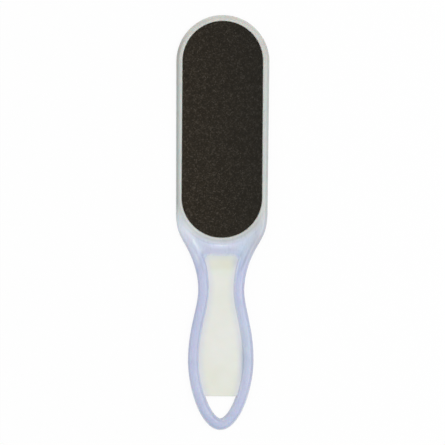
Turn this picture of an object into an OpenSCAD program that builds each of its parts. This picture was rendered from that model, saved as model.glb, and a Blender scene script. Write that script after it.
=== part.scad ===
// Two-sided foot file. An off-white core plate carries an abrasive pad on each face.
// A translucent frame is moulded round the plate: it rims the head, webs the neck and
// forms the open handle, whose bead closes round the tail as a hang loop.
// Millimetres. The file lies on its back: +Y runs to the head and +Z is the front.

/* [Outline] */
// Overall length, from the tail tip to the head tip
length = 260; // [240:1:280]
// Width of the head at its round end
head_w = 58.4; // [56:0.1:62]
// Width of the head where it meets the shoulders
shoulder_w = 57.4; // [55:0.1:59]
// Distance from the tail tip to the shoulders
shoulder_y = 136; // [130:0.5:142]
// Width of the handle at its waist
waist_w = 28.9; // [26:0.1:33]
// Distance from the tail tip to the waist
waist_y = 87.9; // [82:0.1:94]
// Width of the handle at its belly
belly_w = 41.1; // [38:0.1:45]
// Distance from the tail tip to the belly
belly_y = 43.8; // [40:0.1:48]

/* [Frame] */
// Width of the handle's bead
bead_w = 7.2; // [6.6:0.1:7.8]
// Thickness of the handle's bead
bead_t = 6.4; // [6:0.1:7.2]
// Thickness of the rim round the head
rim_t = 5.6; // [5.4:0.1:5.8]
// Thickness of the web across the neck
web_t = 4.9; // [4.5:0.1:5.2]
// Reach of the rounding along the outer edge
edge_round = 2.4; // [1.6:0.1:3]
// Reach of the rounding along the bead's inner side
inner_round = 2.8; // [2:0.1:3.2]
// Height of the flat land along the parting line
parting_land = 0.4; // [0.2:0.1:0.8]
// Radius that blends the bead into the neck
neck_blend = 0.5; // [0.2:0.1:0.9]
// Height above the core plate at which the web runs out in the window's corners
corner_lip = 0.2; // [0.1:0.05:0.4]
// Depth that the core plate is held in the frame
seat_depth = 1.8; // [1:0.1:2.2]

/* [Window] */
// Distance from the tail tip to the window's upper edge
window_y = 109; // [105:0.5:111]
// Radius of the window's upper corners
window_corner = 2.4; // [1:0.1:3.4]
// Distance from the tail tip to the square end of the core plate
panel_end_y = 21.3; // [18:0.1:26]

/* [Core plate] */
// Thickness of the core plate
core_t = 3.6; // [3.2:0.1:3.8]

/* [Abrasive pads] */
// Width of each pad, which has round ends
pad_w = 50.2; // [48:0.1:51]
// Distance from the tail tip to the lower end of the pads
pad_y = 120.5; // [118:0.5:124]
// Thickness of the front abrasive sheet
front_pad_t = 1.2; // [1:0.1:1.4]
// Thickness of the back abrasive sheet
back_pad_t = 1.2; // [1:0.1:1.4]
// Thickness of each adhesive film
film_t = 0.2; // [0.1:0.05:0.3]
// Gap between a pad and the frame round it
pad_gap = 0.15; // [0.1:0.05:0.4]
// Distance that each adhesive film stays back from the pad's edge
film_margin = 0.8; // [0.4:0.1:2]
// Reach of the softened edge of the frame round each pad
pad_edge_round = 0.5; // [0.2:0.1:0.8]

/* [Hidden] */

// Shares of the belly's half width and height that round the tail
tail_round_shares = [0.59, 0.43];
// Shares of the way from belly to waist that the curve keeps straight at each end
belly_shares = [0.46, 0.26];
// Share of the way from waist to shoulder at which the flank turns, across and up
flank_shares = [0.48, 0.525];
// Shares of the way up from waist to shoulder for the flank curves' four handles
flank_handle_shares = [0.2, 0.15, 0.185, 0.25];
// Angle of the flank where it turns
flank_angle = 28;
// Share of the rim's inner crest over which it falls to the web
ring_crest_share = 0.4;

// How many parts each stretch of the frame is divided into
handle_steps = 38;
corner_steps = 5;
lens_steps = 7;
web_steps = 10;
pocket_steps = 4;
side_steps = 4;
head_steps = 16;
round_steps = 4;
soft_steps = 2;
// How often a search halves its range
halvings = 30;
// Points are rounded to this grid, so that neighbouring patches share their corners
point_grid = 0.0001;
$fn = 96;

// Key points of the right half of the outline
belly = [belly_w / 2, belly_y];
waist = [waist_w / 2, waist_y];
shoulder = [shoulder_w / 2, shoulder_y];
head_r = head_w / 2;
head_mid = [0, length - head_r];
head_side = [head_r, head_mid.y];
flank = [mix(waist.x, shoulder.x, flank_shares.x), mix(waist.y, shoulder.y, flank_shares.y)];
flank_way = [sin(flank_angle), cos(flank_angle)];
flank_rise = shoulder.y - waist.y;
belly_rise = waist.y - belly.y;
head_way = (head_side - shoulder) / norm(head_side - shoulder);

// Outline curves from the tail tip up to the shoulder, and the places where two of them meet
WAIST_AT = 2;
outline_curves = [
    [[0, 0], [tail_round_shares.x * belly.x, 0],
     [belly.x, (1 - tail_round_shares.y) * belly.y], belly],
    [belly, [belly.x, belly.y + belly_shares[0] * belly_rise],
     [waist.x, waist.y - belly_shares[1] * belly_rise], waist],
    [waist, [waist.x, waist.y + flank_handle_shares[0] * flank_rise],
     flank - flank_handle_shares[1] * flank_rise * flank_way, flank],
    [flank, flank + flank_handle_shares[2] * flank_rise * flank_way,
     shoulder - flank_handle_shares[3] * flank_rise * head_way, shoulder]
];
SHOULDER_AT = len(outline_curves);

// Pocket round the pads, and the ring of rim that ends at the shoulders
rim_w = (head_w - pad_w) / 2;
pad_top_y = length - rim_w;
pocket_r = pad_w / 2 + pad_gap;
pad_low_mid = [0, pad_y + pad_w / 2];
pad_high_mid = [0, pad_top_y - pad_w / 2];
ring_r = norm(shoulder - pad_low_mid);
ring_end_angle = atan2(shoulder.y - pad_low_mid.y, shoulder.x);
ring_w = ring_r - pocket_r;

// Heights above the middle plane
bead_h = bead_t / 2;
rim_h = rim_t / 2;
web_h = web_t / 2;
land_h = parting_land / 2;
core_h = core_t / 2;
front_film_z = core_h;
front_pad_z = front_film_z + film_t;
back_film_z = -core_h - film_t;
back_pad_z = back_film_z - back_pad_t;
rest_z = max(bead_h, -back_pad_z);

function mix(a, b, k) = a + (b - a) * k;
function between(k) = min(1, max(0, k));
function ease(k) = between(k) * between(k) * (3 - 2 * between(k));
function blend_max(a, b, r) = max(a, b) + pow(max(0, r - abs(a - b)), 2) / (4 * r);

// Place on the outline, the way along it and the way into the part, from 0 at the tail tip
function curve_at(at) = outline_curves[min(floor(at), SHOULDER_AT - 1)];
function along(at) = at - min(floor(at), SHOULDER_AT - 1);
function bezier(c, t) =
    pow(1 - t, 3) * c[0] + 3 * pow(1 - t, 2) * t * c[1] + 3 * (1 - t) * t * t * c[2] + pow(t, 3) * c[3];
function bezier_way(c, t) =
    pow(1 - t, 2) * (c[1] - c[0]) + 2 * (1 - t) * t * (c[2] - c[1]) + t * t * (c[3] - c[2]);
function edge_at(at) = bezier(curve_at(at), along(at));
function inward_at(at) =
    let (way = bezier_way(curve_at(at), along(at))) [-way.y, way.x] / norm(way);
function inset_at(at, depth) = edge_at(at) + depth * inward_at(at);
function on_ring(r, angle) = pad_low_mid + r * [cos(angle), sin(angle)];

// Root of a rising function, by halving
function root_of(f, low, high, turns = halvings) =
    let (mid = (low + high) / 2)
    turns == 0 ? mid : f(mid) > 0 ? root_of(f, low, mid, turns - 1) : root_of(f, mid, high, turns - 1);

// Where the bead's inner line leaves the rim, and where the window's corner meets it
lens_at = root_of(function (at) ring_r - norm(inset_at(at, bead_w) - pad_low_mid), WAIST_AT, SHOULDER_AT);
corner_at = root_of(function (at) inset_at(at, bead_w + window_corner).y - window_y + window_corner,
                    WAIST_AT, lens_at);
lens_point = inset_at(lens_at, bead_w);
lens_angle = atan2(lens_point.y - pad_low_mid.y, lens_point.x);
corner_low = inset_at(corner_at, bead_w);
corner_mid = inset_at(corner_at, bead_w + window_corner);
corner_way = -inward_at(corner_at);
corner_angle = atan2(corner_way.y, corner_way.x);

// Right half of the outline as points, from the tail tip to the head tip
handle_places = [for (k = [0 : handle_steps]) corner_at * k / handle_steps];
corner_places = [for (k = [0 : corner_steps]) mix(corner_at, lens_at, k / corner_steps)];
lens_places = [for (k = [0 : lens_steps]) mix(lens_at, SHOULDER_AT, k / lens_steps)];
outline_places = concat(handle_places, [for (k = [1 : corner_steps]) corner_places[k]],
                        [for (k = [1 : lens_steps]) lens_places[k]]);
side_heights = concat([for (k = [1 : pocket_steps]) mix(shoulder.y, pad_low_mid.y, k / pocket_steps)],
                      [for (k = [1 : side_steps]) mix(pad_low_mid.y, head_mid.y, k / side_steps)]);
function side_point(y) = mix(shoulder, head_side, (y - shoulder.y) / (head_side.y - shoulder.y));
function turned(angle) = [cos(angle), sin(angle)];
head_points = concat([for (y = side_heights) side_point(y)],
                     [for (k = [1 : head_steps]) head_mid + head_r * turned(90 * k / head_steps)]);
outline_points = concat([for (at = outline_places) edge_at(at)], head_points);

// Distance from the outline and from the pad pocket
function gap_to(p, a, b) = norm(p - mix(a, b, between((p - a) * (b - a) / ((b - a) * (b - a)))));
function edge_gap(p) =
    min([for (k = [1 : len(outline_points) - 1]) gap_to(p, outline_points[k - 1], outline_points[k])]);
function pocket_gap(p) =
    norm([p.x, p.y - min(max(p.y, pad_low_mid.y), pad_high_mid.y)]) - pocket_r;

// Height of the frame's face above a place on the right half
function crest_h(y) = mix(bead_h, rim_h, ease((y - window_y) / (shoulder_y - window_y)));
function rounded(k) = sqrt(max(0, 1 - pow(between(k), 2)));
function outer_h(gap, crest) = mix(land_h, crest, rounded(1 - gap / edge_round));
function bead_top(gap, crest) = mix(land_h, crest, rounded((gap - bead_w + inner_round) / inner_round));
function web_top(y) =
    y > corner_low.y
    ? mix(core_h + corner_lip, web_h, ease((y - corner_low.y) / (window_y - corner_low.y)))
    : mix(land_h, core_h + corner_lip, ease(1 - (corner_low.y - y) / window_corner));
function ring_top(gap) = (rim_h - web_h) * ease((1 - gap / ring_w) / (1 - ring_crest_share));
function pocket_drop(gap) = pad_edge_round / 2 * pow(1 - between(gap / pad_edge_round), 2);
function face_h(p) =
    let (gap = edge_gap(p), from_pad = pocket_gap(p), crest = crest_h(p.y),
         inner = blend_max(bead_top(gap, crest), web_top(p.y) + ring_top(from_pad), neck_blend))
    min(outer_h(gap, crest), inner) - pocket_drop(from_pad);

// Shares of a strip's width at which its rows lie, from the outer edge inwards
round_shares = [for (k = [0 : round_steps]) 1 - cos(90 * k / round_steps)];
bead_shares = concat(round_shares * edge_round / bead_w,
                     [for (k = [0 : round_steps])
                      1 - inner_round / bead_w * (1 - sin(90 * k / round_steps))]);
rim_shares = concat(round_shares * edge_round / rim_w,
                    [for (k = [soft_steps : -1 : 0]) 1 - k * pad_edge_round / rim_w]);

// Strips of the frame's face: a list of stations, each a list of points from outside to inside
function strip(outer, inner, shares) = [for (s = shares) mix(outer, inner, s)];
bead_strip = concat(
    [for (at = handle_places) strip(edge_at(at), inset_at(at, bead_w), bead_shares)],
    [for (k = [1 : corner_steps])
     strip(edge_at(corner_places[k]), inset_at(corner_places[k], bead_w), bead_shares)],
    [for (k = [1 : lens_steps])
     strip(edge_at(lens_places[k]),
           k == lens_steps ? shoulder : on_ring(ring_r, mix(lens_angle, ring_end_angle, k / lens_steps)),
           bead_shares)]);
rim_low_angles = concat([for (k = [0 : web_steps]) mix(-90, lens_angle, k / web_steps)],
                        [for (k = [1 : lens_steps]) mix(lens_angle, ring_end_angle, k / lens_steps)]);
pocket_points = concat(
    [for (k = [1 : pocket_steps]) on_ring(pocket_r, mix(ring_end_angle, 0, k / pocket_steps))],
    [for (k = [1 : side_steps]) [pocket_r, mix(pad_low_mid.y, pad_high_mid.y, k / side_steps)]],
    [for (k = [1 : head_steps]) pad_high_mid + pocket_r * turned(90 * k / head_steps)]);
rim_strip = concat(
    [for (a = rim_low_angles)
     strip(a == ring_end_angle ? shoulder : on_ring(ring_r, a), on_ring(pocket_r, a), rim_shares)],
    [for (k = [0 : len(head_points) - 1]) strip(head_points[k], pocket_points[k], rim_shares)]);

// Web from the window's upper edge to the rim's lower arc, and across to the bead's inner line
window_edge = [for (k = [0 : web_steps])
    let (half = floor(web_steps / 2), turn = (k - half) / (web_steps - half))
    k <= half ? [corner_mid.x * k / half, window_y]
    : corner_mid + window_corner * turned(mix(90, corner_angle, turn))];
web_strip = [for (k = [0 : web_steps])
    [for (j = [0 : corner_steps])
     let (v = j / corner_steps, side = inset_at(corner_places[j], bead_w),
          straight = mix(corner_low, lens_point, v))
     mix(window_edge[k], on_ring(ring_r, rim_low_angles[k]), v) + (side - straight) * k / web_steps]];

// Closed skin from patches of points, each a grid whose cells become two triangles
function snapped(p) = [for (v = p) round(v / point_grid) * point_grid];
function raised(patch) =
    [for (row = patch) [for (p = row) let (q = snapped(p)) snapped([q.x, q.y, face_h(q)])]];
function mirrored(p, across, over) = [p.x == 0 ? 0 : p.x * across, p.y, p.z * over];
function quarter(patch, across, over) = [for (row = patch) [for (p = row) mirrored(p, across, over)]];
function wall_of(line) = [for (p = line) [p, mirrored(p, 1, -1)]];
function first_line(patch) = [for (row = patch) row[0]];
function last_line(patch) = [for (row = patch) row[len(row) - 1]];
function cells(patch, flip) = [
    for (i = [1 : len(patch) - 1], j = [1 : len(patch[0]) - 1])
    let (a = patch[i - 1][j - 1], b = patch[i - 1][j], c = patch[i][j], d = patch[i][j - 1])
    each [for (t = [[a, b, c], [a, c, d]])
          if (t[0] != t[1] && t[1] != t[2] && t[0] != t[2]) flip ? [t[2], t[1], t[0]] : t]];

// The frame as one closed skin, before the core plate's seat is cut
module frame_skin() {
    bead = raised(bead_strip);
    rim = raised(rim_strip);
    web = raised(web_strip);
    ring_stations = web_steps + lens_steps;
    outward = [first_line(bead), [for (k = [ring_stations : len(rim) - 1]) rim[k][0]], first_line(web)];
    inward = [[for (k = [0 : handle_steps]) last_line(bead)[k]], last_line(rim)];
    triangles = concat(
        [for (patch = [bead, rim, web], across = [1, -1], over = [1, -1])
         each cells(quarter(patch, across, over), across * over < 0)],
        [for (line = outward, across = [1, -1]) each cells(quarter(wall_of(line), across, 1), across > 0)],
        [for (line = inward, across = [1, -1]) each cells(quarter(wall_of(line), across, 1), across < 0)]);
    polyhedron(points = [for (t = triangles) each t],
               faces = [for (k = [0 : len(triangles) - 1]) [3 * k, 3 * k + 1, 3 * k + 2]]);
}

// Outline of the core plate, seated to an even depth in the bead and in the rim
function core_inset(y) = mix(bead_w, rim_w, ease((y - window_y) / (shoulder_y - window_y))) - seat_depth;
core_side = concat([for (at = outline_places) inset_at(at, core_inset(edge_at(at).y))],
                   [for (k = [1 : head_steps])
                    head_mid + (head_r - rim_w + seat_depth) * turned(90 * (k - 1) / head_steps)]);

// Lays the part on its back with the origin under its middle
module laid() {
    translate([0, -length / 2, rest_z]) children();
}

module plate() {
    core_top = [0, head_mid.y + head_r - rim_w + seat_depth];
    left_side = [for (k = [len(core_side) - 1 : -1 : 1]) [-core_side[k].x, core_side[k].y]];
    difference() {
        linear_extrude(core_t, center = true) polygon(concat(core_side, [core_top], left_side));
        translate([-head_w / 2, 0, -core_t]) cube([head_w, panel_end_y, 2 * core_t]);
    }
}

module pad_outline(margin) {
    for (mid = [pad_low_mid, pad_high_mid]) {
        translate(mid) circle(r = pad_w / 2 - margin);
    }
    translate([margin - pad_w / 2, pad_low_mid.y])
        square([pad_w - 2 * margin, pad_high_mid.y - pad_low_mid.y]);
}

module pad(z, thickness, margin = 0) {
    translate([0, 0, z]) linear_extrude(thickness) pad_outline(margin);
}

// Rigid plate under both pads, seen as the panel of the handle
module core_plate() {
    color([0.90, 0.90, 0.87]) laid() plate();
}

// Translucent frame moulded round the core plate, with the neck web, the bead and the hang loop
module grip_frame() {
    color([0.77, 0.79, 0.90]) laid() difference() {
        frame_skin();
        plate();
    }
}

// Adhesive film under the front pad
module front_adhesive() {
    color([0.93, 0.91, 0.80]) laid() pad(front_film_z, film_t, film_margin);
}

// Adhesive film under the back pad
module back_adhesive() {
    color([0.93, 0.91, 0.80]) laid() pad(back_film_z, film_t, film_margin);
}

// Coarse abrasive sheet on the front
module front_abrasive() {
    color([0.20, 0.18, 0.15]) laid() pad(front_pad_z, front_pad_t);
}

// Finer abrasive sheet on the back
module back_abrasive() {
    color([0.24, 0.21, 0.18]) laid() pad(back_pad_z, back_pad_t);
}

core_plate();
grip_frame();
front_adhesive();
back_adhesive();
front_abrasive();
back_abrasive();
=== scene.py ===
"""Looks, light and camera of the two-sided foot file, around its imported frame.

Metres. The file lies on its back: +Y runs to the head and +Z is the front. Outline sizes run
from the tail tip and heights from the middle plane, until placed() puts them in the row frame.
"""

import math

import bmesh
import bpy
import numpy as np
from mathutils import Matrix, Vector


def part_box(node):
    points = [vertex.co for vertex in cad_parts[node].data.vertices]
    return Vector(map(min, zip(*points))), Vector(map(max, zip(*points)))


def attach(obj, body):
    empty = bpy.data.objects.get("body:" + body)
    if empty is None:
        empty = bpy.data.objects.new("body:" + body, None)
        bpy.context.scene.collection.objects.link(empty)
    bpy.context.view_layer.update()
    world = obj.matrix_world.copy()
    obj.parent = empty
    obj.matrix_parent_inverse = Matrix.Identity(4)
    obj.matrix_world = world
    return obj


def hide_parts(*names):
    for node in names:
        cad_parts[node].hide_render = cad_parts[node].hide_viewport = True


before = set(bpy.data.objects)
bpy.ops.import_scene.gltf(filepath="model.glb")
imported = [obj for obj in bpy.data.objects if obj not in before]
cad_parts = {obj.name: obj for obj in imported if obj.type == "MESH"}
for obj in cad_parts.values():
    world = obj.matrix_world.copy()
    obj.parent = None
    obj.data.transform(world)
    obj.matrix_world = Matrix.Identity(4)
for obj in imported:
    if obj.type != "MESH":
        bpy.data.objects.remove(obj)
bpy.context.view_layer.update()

MM = 0.001

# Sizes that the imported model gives
FRAME_LOW, FRAME_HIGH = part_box("grip_frame")
CORE_LOW, CORE_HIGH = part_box("core_plate")
PAD_LOW, PAD_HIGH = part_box("front_abrasive")
TAIL_Y = FRAME_LOW.y
MIDDLE_Z = (FRAME_LOW.z + FRAME_HIGH.z) / 2
LENGTH = FRAME_HIGH.y - FRAME_LOW.y
HEAD_W = FRAME_HIGH.x - FRAME_LOW.x
BEAD_T = FRAME_HIGH.z - FRAME_LOW.z
CORE_T = CORE_HIGH.z - CORE_LOW.z
PANEL_END_Y = CORE_LOW.y - TAIL_Y
PAD_W = PAD_HIGH.x - PAD_LOW.x
PAD_T = PAD_HIGH.z - PAD_LOW.z
PAD_Y = PAD_LOW.y - TAIL_Y
PAD_TOP = PAD_HIGH.z - MIDDLE_Z

# Outline of the handle and the shoulders
SHOULDER_W = 57.4 * MM
SHOULDER_Y = 136 * MM
WAIST_W = 28.9 * MM
WAIST_Y = 87.9 * MM
BELLY_W = 41.1 * MM
BELLY_Y = 43.8 * MM
TAIL_ROUND_SHARES = (0.59, 0.43)
BELLY_SHARES = (0.46, 0.26)
FLANK_SHARES = (0.48, 0.525)
FLANK_HANDLE_SHARES = (0.2, 0.15, 0.185, 0.25)
FLANK_ANGLE = math.radians(28)

# Section of the frame
BEAD_W = 7.2 * MM
RIM_T = 5.6 * MM
WEB_T = 4.9 * MM
EDGE_ROUND = 2.4 * MM
INNER_ROUND = 2.8 * MM
PARTING_LAND = 0.4 * MM
NECK_BLEND = 0.5 * MM
CORNER_LIP = 0.2 * MM
SEAT_DEPTH = 1.8 * MM
WINDOW_Y = 109 * MM
WINDOW_CORNER = 2.4 * MM
WINDOW_SLOPE = 2.4 * MM
FLANK_TOP = 3.6 * MM
FLANK_FOOT = 8.2 * MM
NECK_RISE = 7 * MM
FOOT_RUN_OUT = 16 * MM
PAD_GAP = 0.15 * MM
PAD_EDGE_ROUND = 0.5 * MM
RING_CREST_SHARE = 0.72

# How finely the frame is divided
HANDLE_STEPS = 132
CORNER_STEPS = 18
LENS_STEPS = 16
WEB_STEPS = 28
POCKET_STEPS = 10
SIDE_STEPS = 22
HEAD_STEPS = 60
ROUND_STEPS = 9
CREST_STEPS = 3
SOFT_STEPS = 4
HALVINGS = 40
GAP_CHUNK = 2000
WELD = 0.002 * MM
SHARP_ANGLE = math.radians(32)

# Core plate, grit and backing
CORE_EDGE = 0.4 * MM
PANEL_COLUMNS = 32
PAD_END_STEPS = 96
BACKING_EDGE = 0.12 * MM
GRIT_T = 0.45 * MM
GRIT_MARGIN = 0.05 * MM
GRIT_EDGE = 0.5 * MM
EDGE_GRIT_SHARE = 0.4
GRIT_COLUMNS = 150
GRIT_SEED = 7
COARSE_GRAIN = 0.16 * MM
FINE_GRAIN = 0.08 * MM
GRAIN_CONTRAST = 1.5
GRAIN_JITTER = 0.7
GRAIN_LEVEL = 0.5
GRAIN_SPREAD = 0.28
CLUMP_TURNS = 9
CLUMP_SPREAD = 0.1

# Painted shade on the frame. AT is a tone's distance from the outline, the pad's pocket or the
# window, SHIFT is how far that differs from side to side, Y is its place along the file, and BAND
# and HALF are its half widths. The values without a unit are strengths.
TONE_STRENGTH = 0.42
OUTER_BAND = 1.5 * MM
OUTER_SHADE = 0.4
RIM_SHADE_AT = 1.1 * MM
RIM_SHADE_BAND = 1.4 * MM
RIM_SHADE = 1.9
RIM_LINE_AT = 2.3 * MM
RIM_LINE_BAND = 1.1 * MM
RIM_LINE_LOW = 0.5
HEAD_ARC_BLEND = 6 * MM
HEAD_FADE_LOW_Y = 237 * MM
HEAD_FADE_HIGH_Y = 253 * MM
SHOULDER_TONE_Y = 127 * MM
SHOULDER_TONE_HALF = 11 * MM
SHOULDER_SHADE = 0.6
FLANK_SHADE_AT = 3.8 * MM
FLANK_SHADE_BAND = 2.8 * MM
FLANK_SHADE_Y = 119 * MM
FLANK_SHADE_HALF = 9 * MM
INNER_SHADE_AT = 5.2 * MM
INNER_SHADE_SHIFT = 1.1 * MM
INNER_SHADE_BAND = 1.3 * MM
INNER_SHADE_LEFT = 0.5
INNER_SHADE_RIGHT = 0.8
BELLY_TONE_HALF = 20 * MM
RING_SHADE_AT = 1.9 * MM
RING_SHADE_BAND = 1.1 * MM
RING_SHADE = 0.8
CORNER_SHADE_R = 5 * MM
CORNER_SHADE_SHIFT = 1.2 * MM
CORNER_SHADE_LEFT = 0.7

# Bluer, greener and greyer tones of the frame: painted shade along the core's edge and over the
# window, painted cooler light on the neck's flanks and the handle's bead, and greyer bands round the
# pad and on the right of the neck
SEEN_CORE_AT = 3.7 * MM
SEEN_CORE_SHIFT = 0.4 * MM
SEEN_CORE_BAND = 1.4 * MM
SEEN_CORE_LOW_Y = 92 * MM
SEEN_CORE_GROW_Y = 97 * MM
SEEN_CORE_HIGH_Y = 105 * MM
SEEN_CORE_END_Y = 130 * MM
SEEN_CORE_LEFT = 1.3
SEEN_CORE_RIGHT_LOW = 0.6
SEEN_CORE_RIGHT_HIGH = 2.4
BROW_AT = 3.7 * MM
BROW_SHIFT = 0.7 * MM
BROW_BAND = 2.8 * MM
BROW_MIDDLE = 0.6
BROW_LEFT = 0.9
BROW_RIGHT = 0.4
COOL_LEFT = 0.3
CYAN_Y = 54 * MM
CYAN_HALF = 36 * MM
CYAN_STRENGTH = 0.62
RING_GREY_BAND = 5.5 * MM

# Paler tones of the frame: painted highlights on the left of the neck, at the pad's lip and on the
# arc below the pad, the plate seen through the bead's thin foot with painted light on the loop's and
# the neck's edges, and the web paler where it thins at the window
STREAK_AT = 6.0 * MM
STREAK_BAND = 1.2 * MM
STREAK_Y = 117 * MM
STREAK_HALF = 7 * MM
UPPER_STREAK_PALE = 0.6
SHOULDER_EDGE_PALE = 0.7
SHOULDER_PALE = 0.45
GLINT_AT = 3.5 * MM
GLINT_BAND = 1.4 * MM
GLINT_Y = 108 * MM
GLINT_HALF = 6 * MM
GLINT_PALE = 0.95
VALLEY_AT = 8 * MM
VALLEY_BAND = 2.5 * MM
VALLEY_Y = 113 * MM
VALLEY_HALF = 4.5 * MM
VALLEY_PALE = 0.4
FOOT_AT = 5.7 * MM
FOOT_SHIFT = 0.4 * MM
FOOT_BAND = 0.9 * MM
FOOT_REACH = 1 * MM
FOOT_SHOWN = 0.65
FOOT_BELLY_LOSS = 0.8
LOOP_HIGH_Y = 40 * MM
LOOP_LOW_Y = 18 * MM
LOOP_SHIFT = 3 * FOOT_SHIFT
LOOP_OUTER_PAINTED_LIGHT = 0.85
LOOP_INNER_PAINTED_LIGHT = 0.5
FLANK_PAINTED_LIGHT = 0.25
NECK_EDGE_Y = 104 * MM
NECK_EDGE_HALF = 14 * MM
NECK_EDGE_PAINTED_LIGHT = 0.35
LIP_BAND = 0.9 * MM
LIP_LEFT = 0.5
RING_LINE_AT = 4.7 * MM
RING_LINE_BAND = 0.8 * MM
RING_LINE_HALF = 8 * MM
FACET_AT = 5.2 * MM
FACET_BAND = 2.4 * MM
FACET_HALF = 22 * MM
WINDOW_FADE = 2.6 * MM
WINDOW_CORNER_PALE = 0.25

# Painted bluish shade on the core plate beside the frame, and the bead's painted shadow on it
PANEL_FADE = 4.0 * MM
FEATHER_LOW_Y = 82 * MM
FEATHER_HIGH_Y = 102 * MM
FEATHER_THIN = 1.8 * MM
FEATHER_WIDE = 3.4 * MM
FEATHER_RIGHT = 0.6
FEATHER_BELLY = 2
FEATHER_HALF = 36 * MM
CORE_SHADOW_WIDE = 1.6 * MM

# Detail of the materials. SPAN is the part of a noise that is used, SIZE is the size of its patches,
# DEPTH is the height of its relief, and ROUGH is the roughness from the smoothest place to the roughest.
WIDE_SPAN = (0.3, 0.7)
NARROW_SPAN = (0.35, 0.65)
SKIN_DEPTH = 0.01 * MM
FRAME_SCATTER = 1.5 * MM
FRAME_CLOUD_SIZE = 9 * MM
FRAME_GRAIN_SIZE = 1.6 * MM
FRAME_GRAIN_STRETCH = (1, 0.25, 1)
FRAME_SKIN_SIZE = 0.7 * MM
FRAME_ROUGH = (0.24, 0.34)
CORE_SCATTER = 1.0 * MM
CORE_CLOUD_SIZE = 14 * MM
CORE_GRAIN_SIZE = 1.1 * MM
CORE_SKIN_SIZE = 0.35 * MM
CORE_ROUGH = (0.42, 0.55)
COARSE_SIZE = 0.72 * MM
FINE_SIZE = 0.4 * MM
CHIPS_TO_GRAIN = 2.2
CHIP_HEIGHT = 0.4
CHIP_SHARE = 0.28
CELL_SPAN = (0.1, 0.65)
GROOVE_SHARE = 0.5
PATCH_SIZE = 3.2 * MM
PATCH_SHARE = 0.42
GRIT_ROUGH = (0.5, 0.85)
GRAIN_DEPTH_SHARE = 0.3
FIBRE_SIZE = 0.4 * MM
FIBRE_STRETCH = (1, 1, 4)
FIBRE_DEPTH = 0.03 * MM
BUBBLE_SIZE = 0.6 * MM
BUBBLE_SPAN = (0.4, 0.7)
FILM_ROUGH = (0.3, 0.5)

# Camera and light
PICTURE_WIDTH = 278.9 * MM
LENS = 120
SENSOR = 36
CAMERA_SIDE = 0.5 * MM
CAMERA_ROLL = math.radians(0.4)
FLOOR_HALF = 2.0
WORLD_LEVEL = 0.45
KEY_PLACE = (0.46, 0.08, 1.1)
KEY_SIZE = 1.0
KEY_POWER = 8.6
FILL_PLACE = (-0.85, -0.1, 0.8)
FILL_SIZE = 0.8
FILL_POWER = 2.6


# Helpers


def point(x, y):
    return np.array([x, y], float)


def mix(a, b, k):
    return a + (b - a) * k


def between(k):
    return np.clip(k, 0, 1)


def ease(k):
    k = between(k)
    return k * k * (3 - 2 * k)


def rise(value, low, high):
    """0 at low and 1 at high, softly."""
    return ease((value - low) / (high - low))


def band(value, middle, half):
    """1 in the middle of a soft band, 0 past its half width."""
    return ease(1 - np.abs(value - middle) / half)


def rounded(k):
    return np.sqrt(np.maximum(0, 1 - between(k) ** 2))


def turned(angle):
    return point(math.cos(angle), math.sin(angle))


def blend_max(a, b, r):
    return np.maximum(a, b) + np.maximum(0, r - np.abs(a - b)) ** 2 / (4 * r)


# Outline


BELLY = point(BELLY_W / 2, BELLY_Y)
WAIST = point(WAIST_W / 2, WAIST_Y)
SHOULDER = point(SHOULDER_W / 2, SHOULDER_Y)
HEAD_R = HEAD_W / 2
HEAD_MID = point(0, LENGTH - HEAD_R)
HEAD_SIDE = point(HEAD_R, HEAD_MID[1])
HEAD_WAY = (HEAD_SIDE - SHOULDER) / np.linalg.norm(HEAD_SIDE - SHOULDER)
FLANK = WAIST + (SHOULDER - WAIST) * FLANK_SHARES
FLANK_WAY = turned(math.pi / 2 - FLANK_ANGLE)
FLANK_RISE = SHOULDER_Y - WAIST_Y
BELLY_RISE = WAIST_Y - BELLY_Y

# The outline's curves, from the tail tip to the shoulder, and the waist's place along them
WAIST_AT = 2
OUTLINE_CURVES = (
    (point(0, 0), point(TAIL_ROUND_SHARES[0] * BELLY[0], 0),
     point(BELLY[0], (1 - TAIL_ROUND_SHARES[1]) * BELLY[1]), BELLY),
    (BELLY, BELLY + point(0, BELLY_SHARES[0] * BELLY_RISE),
     WAIST - point(0, BELLY_SHARES[1] * BELLY_RISE), WAIST),
    (WAIST, WAIST + point(0, FLANK_HANDLE_SHARES[0] * FLANK_RISE),
     FLANK - FLANK_HANDLE_SHARES[1] * FLANK_RISE * FLANK_WAY, FLANK),
    (FLANK, FLANK + FLANK_HANDLE_SHARES[2] * FLANK_RISE * FLANK_WAY,
     SHOULDER - FLANK_HANDLE_SHARES[3] * FLANK_RISE * HEAD_WAY, SHOULDER),
)
SHOULDER_AT = len(OUTLINE_CURVES)

RIM_W = (HEAD_W - PAD_W) / 2
PAD_R = PAD_W / 2
POCKET_R = PAD_R + PAD_GAP
PAD_LOW_MID = point(0, PAD_Y + PAD_R)
PAD_HIGH_MID = point(0, LENGTH - RIM_W - PAD_R)
RING_R = np.linalg.norm(SHOULDER - PAD_LOW_MID)
RING_W = RING_R - POCKET_R
BEAD_H, RIM_H, WEB_H, LAND_H, CORE_H = (t / 2 for t in (BEAD_T, RIM_T, WEB_T, PARTING_LAND, CORE_T))


def curve_at(at):
    """The outline's curve that holds this place, and how far along it the place lies."""
    whole = min(int(at), SHOULDER_AT - 1)
    return OUTLINE_CURVES[whole], at - whole


def edge_at(at):
    (a, b, c, d), t = curve_at(at)
    s = 1 - t
    return s**3 * a + 3 * s * s * t * b + 3 * s * t * t * c + t**3 * d


def inward_at(at):
    (a, b, c, d), t = curve_at(at)
    s = 1 - t
    way = s * s * (b - a) + 2 * s * t * (c - b) + t * t * (d - c)
    return point(-way[1], way[0]) / np.linalg.norm(way)


def inset_at(at, depth):
    return edge_at(at) + depth * inward_at(at)


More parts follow.
